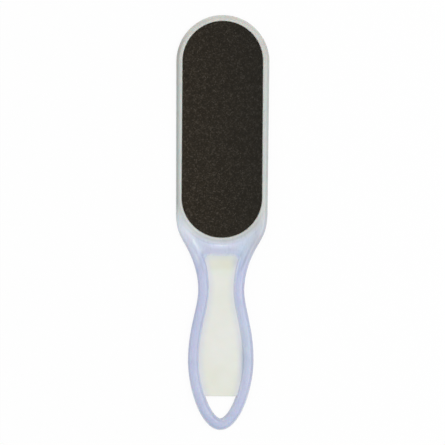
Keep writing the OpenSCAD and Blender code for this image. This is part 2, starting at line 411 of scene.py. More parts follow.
def on_ring(r, angle):
    return PAD_LOW_MID + r * turned(angle)


def angle_of(p):
    return math.atan2(p[1] - PAD_LOW_MID[1], p[0] - PAD_LOW_MID[0])


def root_of(rising, low, high):
    """Place between low and high where the rising function is 0."""
    for _ in range(HALVINGS):
        middle = (low + high) / 2
        if rising(middle) > 0:
            high = middle
        else:
            low = middle
    return (low + high) / 2


# Where the bead's inner line leaves the rim, and where the window's corner meets it
LENS_AT = root_of(lambda at: RING_R - np.linalg.norm(inset_at(at, BEAD_W) - PAD_LOW_MID),
                  WAIST_AT, SHOULDER_AT)
CORNER_AT = root_of(lambda at: inset_at(at, BEAD_W + WINDOW_CORNER)[1] - WINDOW_Y + WINDOW_CORNER,
                    WAIST_AT, LENS_AT)
LENS_POINT = inset_at(LENS_AT, BEAD_W)
LENS_ANGLE = angle_of(LENS_POINT)
RING_END_ANGLE = angle_of(SHOULDER)
CORNER_LOW = inset_at(CORNER_AT, BEAD_W)
CORNER_MID = inset_at(CORNER_AT, BEAD_W + WINDOW_CORNER)
CORNER_ANGLE = math.atan2(*(-inward_at(CORNER_AT))[::-1])


def steps(low, high, count, first=0):
    """Evenly spaced values from low to high, from step number first."""
    return [mix(low, high, k / count) for k in range(first, count + 1)]


def head_points():
    """Outline from just above the shoulder to the head tip."""
    heights = steps(SHOULDER_Y, PAD_LOW_MID[1], POCKET_STEPS, 1)
    heights += steps(PAD_LOW_MID[1], HEAD_SIDE[1], SIDE_STEPS, 1)
    long = HEAD_SIDE[1] - SHOULDER_Y
    side = [mix(SHOULDER, HEAD_SIDE, (y - SHOULDER_Y) / long) for y in heights]
    return side + [HEAD_MID + HEAD_R * turned(a) for a in steps(0, math.pi / 2, HEAD_STEPS, 1)]


HANDLE_PLACES = steps(0, CORNER_AT, HANDLE_STEPS)
CORNER_PLACES = steps(CORNER_AT, LENS_AT, CORNER_STEPS)
LENS_PLACES = steps(LENS_AT, SHOULDER_AT, LENS_STEPS)
OUTLINE_PLACES = HANDLE_PLACES + CORNER_PLACES[1:] + LENS_PLACES[1:]
HEAD_POINTS = head_points()
OUTLINE = np.array([edge_at(at) for at in OUTLINE_PLACES] + HEAD_POINTS)


# Distances and heights on the right half, for arrays of points


def edge_gap(p):
    """Distance of each point from the outline."""
    flat = p.reshape(-1, 2)
    start = OUTLINE[:-1]
    way = OUTLINE[1:] - start
    long = (way**2).sum(1)
    gaps = []
    for first in range(0, len(flat), GAP_CHUNK):
        off = flat[first:first + GAP_CHUNK, None] - start
        along = between((off * way).sum(2) / long)
        gaps.append(np.linalg.norm(off - along[..., None] * way, axis=2).min(1))
    return np.concatenate(gaps).reshape(p.shape[:-1])


def pocket_gap(p):
    """Distance of each point outwards from the pocket that holds the pad."""
    middle_y = np.clip(p[..., 1], PAD_LOW_MID[1], PAD_HIGH_MID[1])
    return np.hypot(p[..., 0], p[..., 1] - middle_y) - POCKET_R


def window_gap(p):
    """Distance of each point outwards from the window, whose upper corners are round."""
    past = p - CORNER_MID
    inside = np.minimum(past.max(-1), 0)
    return np.linalg.norm(np.maximum(past, 0), axis=-1) + inside - WINDOW_CORNER


def crest_height(y):
    """Height of the bead's crest, which falls to the rim's height at the shoulder."""
    return mix(BEAD_H, RIM_H, ease((y - WINDOW_Y - NECK_RISE) / (SHOULDER_Y - WINDOW_Y - NECK_RISE)))


def web_height(p):
    """Height of the neck's web, which dips to the window and runs out in the window's corners."""
    y, low = p[..., 1], CORNER_LOW[1]
    raised = mix(CORE_H + CORNER_LIP, WEB_H, ease(window_gap(p) / WINDOW_SLOPE))
    run_out = mix(LAND_H, CORE_H + CORNER_LIP, ease(1 - (low - y) / WINDOW_CORNER))
    return np.where(y > low, raised, run_out)


def foot_height(y):
    """Height at which the bead's inner round ends: on the plate by the window, lower in the handle."""
    return mix(LAND_H, CORE_H + CORNER_LIP, ease(1 - (CORNER_LOW[1] - y) / FOOT_RUN_OUT))


def face_height(p):
    """Height of the frame's face above the middle plane."""
    gap = edge_gap(p)
    from_pad = pocket_gap(p)
    crest = crest_height(p[..., 1])
    outer = mix(LAND_H, crest, rounded(1 - gap / EDGE_ROUND))
    bead = mix(foot_height(p[..., 1]), crest, rounded((gap - BEAD_W + INNER_ROUND) / INNER_ROUND))
    flank = mix(WEB_H, crest, ease(1 - (gap - FLANK_TOP) / (FLANK_FOOT - FLANK_TOP)))
    bead = mix(bead, flank, ease((p[..., 1] - WINDOW_Y) / NECK_RISE))
    ring = (RIM_H - WEB_H) * ease((1 - from_pad / RING_W) / (1 - RING_CREST_SHARE))
    inner = blend_max(bead, web_height(p) + ring, NECK_BLEND)
    drop = PAD_EDGE_ROUND / 2 * (1 - between(from_pad / PAD_EDGE_ROUND)) ** 2
    return np.minimum(outer, inner) - drop


# Strips of the frame's face: stations, each a row of points from outside to inside


def strip(outer, inner, shares):
    return [mix(outer, inner, s) for s in shares]


def bead_strip():
    turns = steps(0, math.pi / 2, ROUND_STEPS)
    outer_share, inner_share = EDGE_ROUND / BEAD_W, INNER_ROUND / BEAD_W
    shares = [outer_share * (1 - math.cos(a)) for a in turns]
    shares += steps(outer_share, 1 - inner_share, CREST_STEPS, 1)[:-1]
    shares += [1 - inner_share * (1 - math.sin(a)) for a in turns]
    rows = [strip(edge_at(at), inset_at(at, BEAD_W), shares) for at in HANDLE_PLACES + CORNER_PLACES[1:]]
    for k in range(1, LENS_STEPS + 1):
        inner = on_ring(RING_R, mix(LENS_ANGLE, RING_END_ANGLE, k / LENS_STEPS))
        rows.append(strip(edge_at(LENS_PLACES[k]), SHOULDER if k == LENS_STEPS else inner, shares))
    return np.array(rows)


LOW_ANGLES = steps(-math.pi / 2, LENS_ANGLE, WEB_STEPS) + steps(LENS_ANGLE, RING_END_ANGLE, LENS_STEPS, 1)


def rim_strip():
    outer_share, soft_share = EDGE_ROUND / RIM_W, 1 - PAD_EDGE_ROUND / RIM_W
    shares = [outer_share * (1 - math.cos(a)) for a in steps(0, math.pi / 2, ROUND_STEPS)]
    shares += steps(outer_share, soft_share, CREST_STEPS, 1)
    shares += steps(soft_share, 1, SOFT_STEPS, 1)
    rows = []
    for k, angle in enumerate(LOW_ANGLES):
        outer = SHOULDER if k == len(LOW_ANGLES) - 1 else on_ring(RING_R, angle)
        rows.append(strip(outer, on_ring(POCKET_R, angle), shares))
    pocket = [on_ring(POCKET_R, a) for a in steps(RING_END_ANGLE, 0, POCKET_STEPS, 1)]
    pocket += [point(POCKET_R, y) for y in steps(PAD_LOW_MID[1], PAD_HIGH_MID[1], SIDE_STEPS, 1)]
    pocket += [PAD_HIGH_MID + POCKET_R * turned(a) for a in steps(0, math.pi / 2, HEAD_STEPS, 1)]
    rows += [strip(outer, inner, shares) for outer, inner in zip(HEAD_POINTS, pocket)]
    return np.array(rows)


def web_strip():
    half = WEB_STEPS // 2
    edge = [point(x, WINDOW_Y) for x in steps(0, CORNER_MID[0], half)]
    edge += [CORNER_MID + WINDOW_CORNER * turned(a)
             for a in steps(math.pi / 2, CORNER_ANGLE, WEB_STEPS - half, 1)]
    rows = []
    for k, start in enumerate(edge):
        row = []
        for j, at in enumerate(CORNER_PLACES):
            v = j / CORNER_STEPS
            bulge = inset_at(at, BEAD_W) - mix(CORNER_LOW, LENS_POINT, v)
            row.append(mix(start, on_ring(RING_R, LOW_ANGLES[k]), v) + bulge * k / WEB_STEPS)
        rows.append(row)
    return np.array(rows)


# Meshes


def placed(p):
    """Points in the row frame."""
    return p + (0, TAIL_Y, MIDDLE_Z)


def quads_of(rows, columns, first, flip):
    """Faces of a grid of points whose first point has this number."""
    k = np.arange(rows * columns).reshape(rows, columns) + first
    cells = np.stack([k[:-1, :-1], k[:-1, 1:], k[1:, 1:], k[1:, :-1]], -1).reshape(-1, 4)
    return cells[:, ::-1] if flip else cells


def mesh_object(name, points, faces):
    """A piece with this name in the scene."""
    mesh = bpy.data.meshes.new(name)
    mesh.from_pydata(points.tolist(), [], [list(map(int, f)) for f in faces])
    piece = bpy.data.objects.new(name, mesh)
    bpy.context.scene.collection.objects.link(piece)
    return piece


def weld(piece):
    """Joins points that lie together and deletes faces without area."""
    mesh = bmesh.new()
    mesh.from_mesh(piece.data)
    bmesh.ops.remove_doubles(mesh, verts=mesh.verts, dist=WELD)
    bmesh.ops.dissolve_degenerate(mesh, edges=mesh.edges, dist=WELD)
    mesh.to_mesh(piece.data)
    mesh.free()


def shade(piece, sharp_angle=SHARP_ANGLE):
    """Smooth faces, with the edges that turn by more than sharp_angle kept sharp."""
    mesh = bmesh.new()
    mesh.from_mesh(piece.data)
    for face in mesh.faces:
        face.smooth = True
    for edge in mesh.edges:
        edge.smooth = len(edge.link_faces) == 2 and edge.calc_face_angle(0) < sharp_angle
    mesh.to_mesh(piece.data)
    mesh.free()


def frame_skin(name):
    """The frame as one closed skin, before the core's seat is cut."""
    bead, rim, web = bead_strip(), rim_strip(), web_strip()
    points, faces = [], []
    count = 0

    def add(patch, flip):
        nonlocal count
        points.append(patch.reshape(-1, 3))
        faces.append(quads_of(patch.shape[0], patch.shape[1], count, flip))
        count += patch.shape[0] * patch.shape[1]

    patches = [np.dstack([p, face_height(p)]) for p in (bead, rim, web)]
    ring_end = WEB_STEPS + LENS_STEPS
    lines = [(patches[0][:, 0], False), (patches[1][ring_end:, 0], False), (patches[2][:, 0], False),
             (patches[0][:HANDLE_STEPS + 1, -1], True), (patches[1][:, -1], True)]
    for across in (1, -1):
        for over in (1, -1):
            for patch in patches:
                add(patch * (across, 1, over), across * over > 0)
        for line, inner in lines:
            wall = np.stack([line, line * (1, 1, -1)], 1) * (across, 1, 1)
            add(wall, (across > 0) == inner)
    skin = mesh_object(name, placed(np.concatenate(points)), np.concatenate(faces))
    weld(skin)
    return skin


def core_inset(y):
    """How far in from the outline the core plate's edge lies."""
    return mix(BEAD_W, RIM_W, ease((y - WINDOW_Y) / (SHOULDER_Y - WINDOW_Y))) - SEAT_DEPTH


def core_side(end_y):
    """Right side of the core plate, from its square end at end_y to the head tip."""
    side = [inset_at(at, core_inset(edge_at(at)[1])) for at in OUTLINE_PLACES]
    head_r = HEAD_R - RIM_W + SEAT_DEPTH
    side += [HEAD_MID + head_r * turned(a) for a in steps(0, math.pi / 2, HEAD_STEPS)]
    above = next(k for k, p in enumerate(side) if p[1] > PANEL_END_Y + CORE_EDGE)
    low, high = side[above - 1], side[above]
    start = mix(low, high, (end_y - low[1]) / (high[1] - low[1]))
    return np.array([start] + side[above:])


def lofted(name, levels):
    """A closed piece from levels, low to high, each a loop with the same number of points."""
    count = len(levels[0])
    faces = [range(count)[::-1], range((len(levels) - 1) * count, len(levels) * count)]
    for k in range(len(levels) - 1):
        for j in range(count):
            a, b = k * count + j, k * count + (j + 1) % count
            faces.append((a, b, b + count, a + count))
    return mesh_object(name, np.concatenate(levels), faces)


def core_levels(edge):
    """Loops of the core plate from back to front, with the edges of its square end rounded by edge."""
    levels = []
    turns = [0] if edge == 0 else steps(0, math.pi / 2, ROUND_STEPS)
    profile = [(edge * (1 - math.sin(a)), -CORE_H + edge * (1 - math.cos(a))) for a in turns]
    profile += [(back, -z) for back, z in profile[::-1]]
    for back, z in profile:
        side = core_side(PANEL_END_Y + back)
        end = side[0] * np.array([(share, 1) for share in steps(-1, 1, PANEL_COLUMNS, 1)[:-1]])
        loop = np.concatenate([side, side[-2::-1] * (-1, 1), end])
        levels.append(placed(np.column_stack([loop, np.full(len(loop), z)])))
    return levels


def core_panel(name):
    """The core plate with its faces divided evenly, so that they can be shaded."""
    levels = core_levels(CORE_EDGE)
    count = len(levels[0])
    points, faces = [np.concatenate(levels)], []
    for k in range(len(levels) - 1):
        wall = np.arange(k * count, (k + 1) * count)
        after = np.roll(wall, -1)
        faces.append(np.stack([wall, after, after + count, wall + count], -1))
    first = len(levels) * count
    shares = np.linspace(-1, 1, PANEL_COLUMNS + 1)
    for loop, flip in ((levels[0], True), (levels[-1], False)):
        side = loop[:(count - PANEL_COLUMNS) // 2 + 1]
        rows = np.repeat(side[:, None], PANEL_COLUMNS + 1, 1)
        rows[..., 0] *= shares
        points.append(rows.reshape(-1, 3))
        faces.append(quads_of(len(side), PANEL_COLUMNS + 1, first, flip))
        first += len(side) * (PANEL_COLUMNS + 1)
    panel = mesh_object(name, np.concatenate(points), np.concatenate(faces))
    weld(panel)
    return panel


def cut(piece, cutter):
    """Cuts the cutter out of the piece and deletes the cutter."""
    modifier = piece.modifiers.new("seat", "BOOLEAN")
    modifier.operation = "DIFFERENCE"
    modifier.solver = "MANIFOLD"
    modifier.object = cutter
    shaped = piece.evaluated_get(bpy.context.evaluated_depsgraph_get())
    piece.data = bpy.data.meshes.new_from_object(shaped)
    piece.modifiers.clear()
    bpy.data.objects.remove(cutter)


def stadium(margin):
    """Loop round a pad, at this distance inside its edge."""
    r = PAD_R - margin
    low = [PAD_LOW_MID + r * turned(a) for a in steps(-math.pi, 0, PAD_END_STEPS)]
    high = [PAD_HIGH_MID + r * turned(a) for a in steps(0, math.pi, PAD_END_STEPS)]
    return np.array(low + high)


def round_cap(u, v):
    """Even map of a half square, u from -1 to 1 and v from 0 to 1, to a half disc."""
    wide = np.abs(u) > v
    r = np.where(wide, u, v)
    share = np.divide(np.where(wide, v, u), r, out=np.zeros_like(r), where=r != 0)
    angle = np.where(wide, share, 2 - share) * math.pi / 4
    return np.stack([r * np.cos(angle), r * np.sin(angle)], -1)


def pad_grid(margin):
    """Even grid of points over a pad, at this distance inside its edge."""
    r = PAD_R - margin
    straight = (PAD_HIGH_MID[1] - PAD_LOW_MID[1]) / r
    cap_rows = GRIT_COLUMNS // 2
    body_rows = round(straight * cap_rows)
    v = np.concatenate([np.linspace(-1, 0, cap_rows, False), np.linspace(0, straight, body_rows, False),
                        straight + np.linspace(0, 1, cap_rows + 1)])
    u, v = np.meshgrid(np.linspace(-1, 1, GRIT_COLUMNS + 1), v)
    past = np.where(v < 0, -v, np.maximum(v - straight, 0))
    cap = round_cap(u, past)
    y = np.where(v < 0, -cap[..., 1], np.minimum(v, straight) + cap[..., 1])
    return np.stack([cap[..., 0], y], -1) * r + PAD_LOW_MID


def softened(height, times):
    """Heights averaged with their neighbours."""
    for _ in range(times):
        wide = np.pad(height, 1, mode="edge")
        across = wide[1:-1, :-2] + wide[1:-1, 2:]
        up = wide[:-2, 1:-1] + wide[2:, 1:-1]
        height = height / 2 + (across + up) / 8
    return height


def grit_surface(seed, grain):
    """Grid of points over a pad's grit, whose grains are this high."""
    random = np.random.default_rng(seed)
    plan = pad_grid(GRIT_MARGIN)
    from_edge = PAD_R - GRIT_MARGIN - (pocket_gap(plan) + POCKET_R)
    spacing = PAD_W / GRIT_COLUMNS
    shift = (random.random(plan.shape) - 0.5) * spacing * GRAIN_JITTER
    plan = plan + shift * (from_edge > spacing / 2)[..., None]
    grains = random.random(plan.shape[:2]) ** GRAIN_CONTRAST
    clumps = softened(random.random(plan.shape[:2]), CLUMP_TURNS)
    clumps = (clumps - clumps.mean()) / clumps.std()
    level = GRAIN_LEVEL + GRAIN_SPREAD * (grains - grains.mean()) / grains.std() + CLUMP_SPREAD * clumps
    level = between(level) * mix(EDGE_GRIT_SHARE, 1, ease(from_edge / GRIT_EDGE))
    return np.dstack([plan, PAD_TOP - grain * (1 - level)])


def grit_layer(name, seed, over, grain):
    """The grit of a pad as one closed piece: over is 1 on the front and -1 on the back."""
    surface = grit_surface(seed, grain)
    rows, columns = surface.shape[:2]
    grid = surface.reshape(-1, 3)
    count = len(grid)
    numbers = np.arange(count).reshape(rows, columns)
    rim = np.concatenate([numbers[0, :-1], numbers[:-1, -1], numbers[-1, :0:-1], numbers[:0:-1, 0]])
    base = grid[rim] * (1, 1, 0) + (0, 0, PAD_TOP - GRIT_T)
    faces = quads_of(rows, columns, 0, False).tolist()
    for k in range(len(rim)):
        after = (k + 1) % len(rim)
        faces.append((count + k, count + after, rim[after], rim[k]))
    faces.append(list(range(count, count + len(rim)))[::-1])
    if over < 0:
        faces = [face[::-1] for face in faces]
    points = np.concatenate([grid, base]) * (1, 1, over)
    return mesh_object(name, placed(points), faces)


def backing(name, over):
    """The fibre sheet under a pad's grit, with its cut edge softened."""
    bottom, top = PAD_TOP - PAD_T, PAD_TOP - GRIT_T
    turns = steps(0, math.pi / 2, SOFT_STEPS)
    profile = [(BACKING_EDGE * (1 - math.sin(a)), bottom + BACKING_EDGE * (1 - math.cos(a))) for a in turns]
    profile += [(inset, top + bottom - z) for inset, z in profile[::-1]]
    levels = []
    for inset, z in profile[::over]:
        loop = stadium(inset)
        levels.append(placed(np.column_stack([loop, np.full(len(loop), z * over)])))
    return lofted(name, levels)


# Tones stored on the meshes, which the materials read


class Spots:
    """Where the points of a mesh lie, seen from above: from the tail tip, and put on the right half."""

    def __init__(self, piece):
        points = np.empty(len(piece.data.vertices) * 3)
        piece.data.vertices.foreach_get("co", points)
        points = points.reshape(-1, 3) - (0, TAIL_Y, MIDDLE_Z)
        self.side = np.sign(points[:, 0])
        self.left = self.side < 0
        self.right = self.side > 0
        self.plan = np.column_stack([np.abs(points[:, 0]), points[:, 1]])
        self.x = self.plan[:, 0]
        self.y = self.plan[:, 1]
        self.outer = edge_gap(self.plan)
        self.pocket = pocket_gap(self.plan)
        self.window = window_gap(self.plan)
        self.below_pad = rise(self.y, PAD_LOW_MID[1], PAD_Y)


def store(piece, name, values):
    """Keeps one number for each point of the mesh, which a material can read."""
    attribute = piece.data.attributes.new(name, "FLOAT", "POINT")
    attribute.data.foreach_set("value", np.asarray(values, np.float32))


def frame_shade(spots):
    """How much painted shade darkens the frame at its edges, along the bead's inner side and round the pad.
    """
    outer, y, right = spots.outer, spots.y, spots.right
    head = rise(y, SHOULDER_Y, SHOULDER_Y + NECK_RISE) * rise(y, HEAD_FADE_HIGH_Y, HEAD_FADE_LOW_Y)
    handle = rise(y, SEEN_CORE_HIGH_Y, WAIST_Y) * rise(y, 0, BELLY_Y)
    right_edge = ease(1 - outer / OUTER_BAND) * (OUTER_SHADE * head + OUTER_SHADE * handle)
    left_edge = band(outer, RIM_SHADE_AT, RIM_SHADE_BAND) * RIM_SHADE * head
    arc = rise(y, HEAD_SIDE[1] - HEAD_ARC_BLEND, HEAD_SIDE[1] + HEAD_ARC_BLEND)
    line = np.where(right, mix(RIM_LINE_LOW, 1, arc), 0)
    edge = np.where(right, right_edge, left_edge) + band(outer, RIM_LINE_AT, RIM_LINE_BAND) * head * line
    shoulder = band(y, SHOULDER_TONE_Y, SHOULDER_TONE_HALF) * rise(outer, OUTER_BAND, BEAD_W / 2)
    flank = band(outer, FLANK_SHADE_AT, FLANK_SHADE_BAND) * band(y, FLANK_SHADE_Y, FLANK_SHADE_HALF)
    inner = band(outer, INNER_SHADE_AT + INNER_SHADE_SHIFT * right, INNER_SHADE_BAND)
    inner *= rise(y, WINDOW_Y, WINDOW_Y - WINDOW_CORNER)
    belly = INNER_SHADE_RIGHT * band(y, BELLY_Y, BELLY_TONE_HALF)
    inner *= np.where(right, belly, INNER_SHADE_LEFT) * rise(y, 0, BELLY_Y)
    ring = band(spots.pocket, RING_SHADE_AT, RING_SHADE_BAND) * spots.below_pad * RING_SHADE
    neck = np.maximum(shoulder * SHOULDER_SHADE, flank) * right
    return between((edge + inner + neck + ring) * TONE_STRENGTH)


def frame_deep(spots):
    """How much deeper the blue is along the core's edge seen through the neck, with painted shade there and
    on the brow over the window.
    """
    y, right = spots.y, spots.right
    apart = rise(y, SEEN_CORE_LOW_Y, SEEN_CORE_HIGH_Y)
    core_at = mix(INNER_SHADE_AT, SEEN_CORE_AT - SEEN_CORE_SHIFT * spots.side, apart)
    neck = rise(y, SEEN_CORE_END_Y, SEEN_CORE_HIGH_Y) * apart
    grown = rise(y, SEEN_CORE_GROW_Y, SEEN_CORE_HIGH_Y)
    strength = np.where(right, mix(SEEN_CORE_RIGHT_LOW, SEEN_CORE_RIGHT_HIGH, grown), SEEN_CORE_LEFT)
    seen_core = band(spots.outer, core_at, SEEN_CORE_BAND) * neck * strength
    corner = rise(spots.x, CORNER_MID[0] - WINDOW_CORNER, CORNER_MID[0] + WINDOW_CORNER)
    brow_at = BROW_AT - BROW_SHIFT * np.where(right, 0, corner)
    brow = band(spots.window, brow_at, BROW_BAND) * apart
    brow *= mix(BROW_MIDDLE, np.where(right, BROW_RIGHT, BROW_LEFT), corner)
    return between(np.maximum(seen_core, brow) * TONE_STRENGTH)


def frame_cool(spots):
    """How much bluer the light in the neck's flanks is, most on the right."""
    flank = band(spots.outer, BEAD_W, FLANK_FOOT - FLANK_TOP)
    flank *= band(spots.y, WINDOW_Y, SHOULDER_Y - WINDOW_Y)
    return between(flank * np.where(spots.right, 1, COOL_LEFT))


def frame_cyan(spots):
    """How much greener the light on the right of the handle's bead is."""
    bead = rise(spots.outer, 0, OUTER_BAND) * band(spots.y, CYAN_Y, CYAN_HALF)
    return bead * CYAN_STRENGTH * spots.right


def frame_warm(spots):
    """How much greyer the outer band on the right of the neck is."""
    outside = rise(spots.outer, SEEN_CORE_AT, SEEN_CORE_AT - SEEN_CORE_SHIFT - SEEN_CORE_BAND)
    return outside * band(spots.y, STREAK_Y, STREAK_HALF * 2) * spots.right


def frame_painted_highlight(spots):
    """How much paler the left of the neck is with painted highlights and painted light, where its flank
    faces the light.
    """
    outer, y = spots.outer, spots.y
    streak = band(outer, STREAK_AT, STREAK_BAND) * band(y, STREAK_Y, STREAK_HALF)
    upper = band(outer, SEEN_CORE_AT, STREAK_BAND) * band(y, STREAK_Y + STREAK_HALF, STREAK_HALF / 2)
    shoulder = mix(SHOULDER_EDGE_PALE, SHOULDER_PALE, rise(outer, OUTER_BAND, BEAD_W / 2))
    shoulder = shoulder * band(y, SHOULDER_TONE_Y, SHOULDER_TONE_HALF)
    glint = band(outer, GLINT_AT, GLINT_BAND) * band(y, GLINT_Y, GLINT_HALF)
    valley = band(outer, VALLEY_AT, VALLEY_BAND) * band(y, VALLEY_Y, VALLEY_HALF)
    tones = [streak, upper * UPPER_STREAK_PALE, shoulder, glint * GLINT_PALE, valley * VALLEY_PALE]
    return np.maximum.reduce(tones) * spots.left


def frame_foot_and_painted_light(spots):
    """How much the plate shows through the bead's thin foot, with painted light on the loop's edges and the
    right of the neck.
    """
    outer, y, right = spots.outer, spots.y, spots.right
    foot = rise(outer, FOOT_AT - FOOT_SHIFT * right, FOOT_AT + FOOT_BAND)
    right_end = rise(y, WINDOW_Y + FOOT_REACH, WINDOW_Y - WINDOW_CORNER)
    foot *= np.where(right, right_end, rise(y, WINDOW_Y, FEATHER_LOW_Y)) * FOOT_SHOWN
    foot *= 1 - FOOT_BELLY_LOSS * right * band(y, BELLY_Y, BELLY_TONE_HALF)
    edge = ease(1 - outer / OUTER_BAND)
    inner_edge = rise(outer, FOOT_AT - LOOP_SHIFT * right, BEAD_W)
    loop = np.maximum(edge * LOOP_OUTER_PAINTED_LIGHT, inner_edge * LOOP_INNER_PAINTED_LIGHT)
    flank = band(outer, (FLANK_TOP + FLANK_FOOT) / 2, FLANK_FOOT - FLANK_TOP)
    flank *= band(y, STREAK_Y, STREAK_HALF * 2)
    neck_edge = edge * band(y, NECK_EDGE_Y, NECK_EDGE_HALF)
    neck = np.maximum(flank * FLANK_PAINTED_LIGHT, neck_edge * NECK_EDGE_PAINTED_LIGHT)
    return np.maximum(mix(foot, loop, rise(y, LOOP_HIGH_Y, LOOP_LOW_Y)), np.where(right, neck, 0))


def corner_shade(spots):
    """Painted shade: how much darker the frame and the core are near the window's upper corners."""
    shift = np.where(spots.right, -CORNER_SHADE_SHIFT, CORNER_SHADE_SHIFT)
    off = spots.plan - CORNER_LOW - np.stack([shift, shift / 2], -1)
    near = ease(1 - np.linalg.norm(off, axis=-1) / CORNER_SHADE_R)
    return near * np.where(spots.right, 1, CORNER_SHADE_LEFT)


def frame_lip_highlight(spots):
    """Painted highlight: how much paler the frame is at the pad's edge and along the outer edge of the head
    tip.
    """
    lip_highlight = ease(1 - spots.pocket / LIP_BAND) * np.where(spots.left, LIP_LEFT, 1)
    tip = rise(spots.y, HEAD_FADE_LOW_Y, HEAD_FADE_HIGH_Y) * ease(1 - spots.outer / EDGE_ROUND)
    return np.maximum(lip_highlight, tip)


def ring_band(spots, at, half, wide):
    """A soft band round the pad's lower end, which fades out at wide to each side of the middle."""
    return band(spots.pocket, at, half) * ease(1 - spots.x / wide) * spots.below_pad


def frame_window(spots):
    """How much paler the web is along the window, and less so in the window's corners."""
    on_web = rise(spots.y, WINDOW_Y - WINDOW_CORNER, WINDOW_Y)
    corner = rise(spots.x, CORNER_MID[0] - WINDOW_CORNER / 2, CORNER_MID[0] + WINDOW_CORNER)
    on_web *= mix(1, WINDOW_CORNER_PALE, corner)
    return ease(1 - spots.window / WINDOW_FADE) * on_web


def core_feather_shade(spots):
    """How far the frame's blue reaches over the core's face beside the bead, as painted bluish shade."""
    wide = mix(FEATHER_THIN, FEATHER_WIDE, rise(spots.y, FEATHER_LOW_Y, FEATHER_HIGH_Y))
    right = mix(FEATHER_RIGHT, FEATHER_BELLY, band(spots.y, BELLY_Y, FEATHER_HALF))
    return ease(1 - (spots.outer - BEAD_W) / (wide * np.where(spots.left, 1, right)))


def core_shadow(spots):
    """How much of the bead's shadow lies on the core, on the right of the belly."""
    belly = band(spots.y, BELLY_Y, BELLY_TONE_HALF) * spots.right
    return ease(1 - (spots.outer - BEAD_W) / CORE_SHADOW_WIDE) * belly


# Colours


def paint(red, green, blue):
    """A colour as it shows on a screen, 0 to 255, as linear values with alpha."""
    def linear(value):
        share = value / 255
        return share / 12.92 if share <= 0.04045 else ((share + 0.055) / 1.055) ** 2.4
    return (linear(red), linear(green), linear(blue), 1)


# The frame along its length
TAIL_BLUE = paint(184, 192, 218)
LAVENDER = paint(190, 196, 222)
WEB_BLUE = paint(199, 205, 223)
NECK_BLUE = paint(203, 208, 218)
NECK_GREY = paint(202, 205, 211)
HEAD_GREY = paint(197, 203, 199)
HEAD_WARM = paint(200, 200, 193)
FRAME_TINTS = ((0, TAIL_BLUE), (30 * MM, LAVENDER), (100 * MM, LAVENDER), (114 * MM, WEB_BLUE),
               (125 * MM, NECK_BLUE), (130 * MM, NECK_GREY), (138 * MM, HEAD_GREY), (205 * MM, HEAD_GREY),
               (240 * MM, HEAD_WARM))

# The frame's tones: painted shade, painted highlights and painted light, and a few tints of the plastic
FRAME_SHADE = paint(208, 210, 208)
FRAME_DEEP = paint(209, 212, 220)
FRAME_RING = paint(250, 247, 231)
FRAME_COOL = paint(240, 252, 254)
BEAD_CYAN = paint(190, 202, 217)
FRAME_WARM = paint(246, 240, 236)
STREAK_HIGHLIGHT_PALE = paint(220, 227, 236)
FOOT_PALE_AND_PAINTED_LIGHT = paint(226, 231, 239)
LIP_HIGHLIGHT_PALE = paint(220, 221, 214)
ARC_HIGHLIGHT_PALE = paint(226, 231, 244)
FACET_HIGHLIGHT_PALE = paint(207, 213, 232)
CORNER_SHADE_GREY = paint(241, 242, 252)
WINDOW_PALE = paint(213, 218, 223)
CLOUD_TINT = paint(246, 247, 250)

# The core plate
CORE_EDGE_SHADE_GREY = paint(214, 218, 214)
CORE_TOP = paint(220, 221, 209)
CORE_WHITE = paint(227, 228, 223)
CORE_GREEN = paint(223, 228, 219)
CORE_LOW = paint(226, 227, 217)
# The plate's greyer top, just under the window's edge, is painted shade
CORE_TINTS = ((PANEL_END_Y, CORE_LOW), (50 * MM, CORE_WHITE), (95 * MM, CORE_WHITE), (99.5 * MM, CORE_GREEN),
              (102 * MM, CORE_TOP), (105.5 * MM, CORE_TOP), (107.6 * MM, CORE_EDGE_SHADE_GREY))
# Painted bluish shade beside the bead, and the bead's painted shadow
CORE_SIDE_SHADE = paint(240, 244, 255)
FEATHER_SHADE_BLUE = paint(218, 218, 224)
SHADOW_BLUE = paint(190, 197, 211)
CORE_CLOUD = paint(250, 251, 246)

# Grit, fibre, adhesive and floor
GRIT_DARK = paint(23, 16, 1)
GRIT_BROWN = paint(44, 36, 22)
GRIT_LIGHT = paint(82, 75, 66)
# Painted shade on the grit, darker towards the right and the top
GRIT_SHADE_RIGHT = paint(199, 208, 215)
GRIT_SHADE_TOP = paint(241, 242, 243)
FINE_BROWN = paint(44, 41, 35)
FINE_LIGHT = paint(62, 58, 50)
FIBRE_PALE = paint(228, 226, 212)
FIBRE_DARK = paint(206, 202, 186)
FILM_CREAM = paint(240, 234, 210)
FILM_PALE = paint(246, 243, 228)
FLOOR_WHITE = (0.9, 0.9, 0.9, 1)
FLOOR_GLOW = 0.92


# Materials


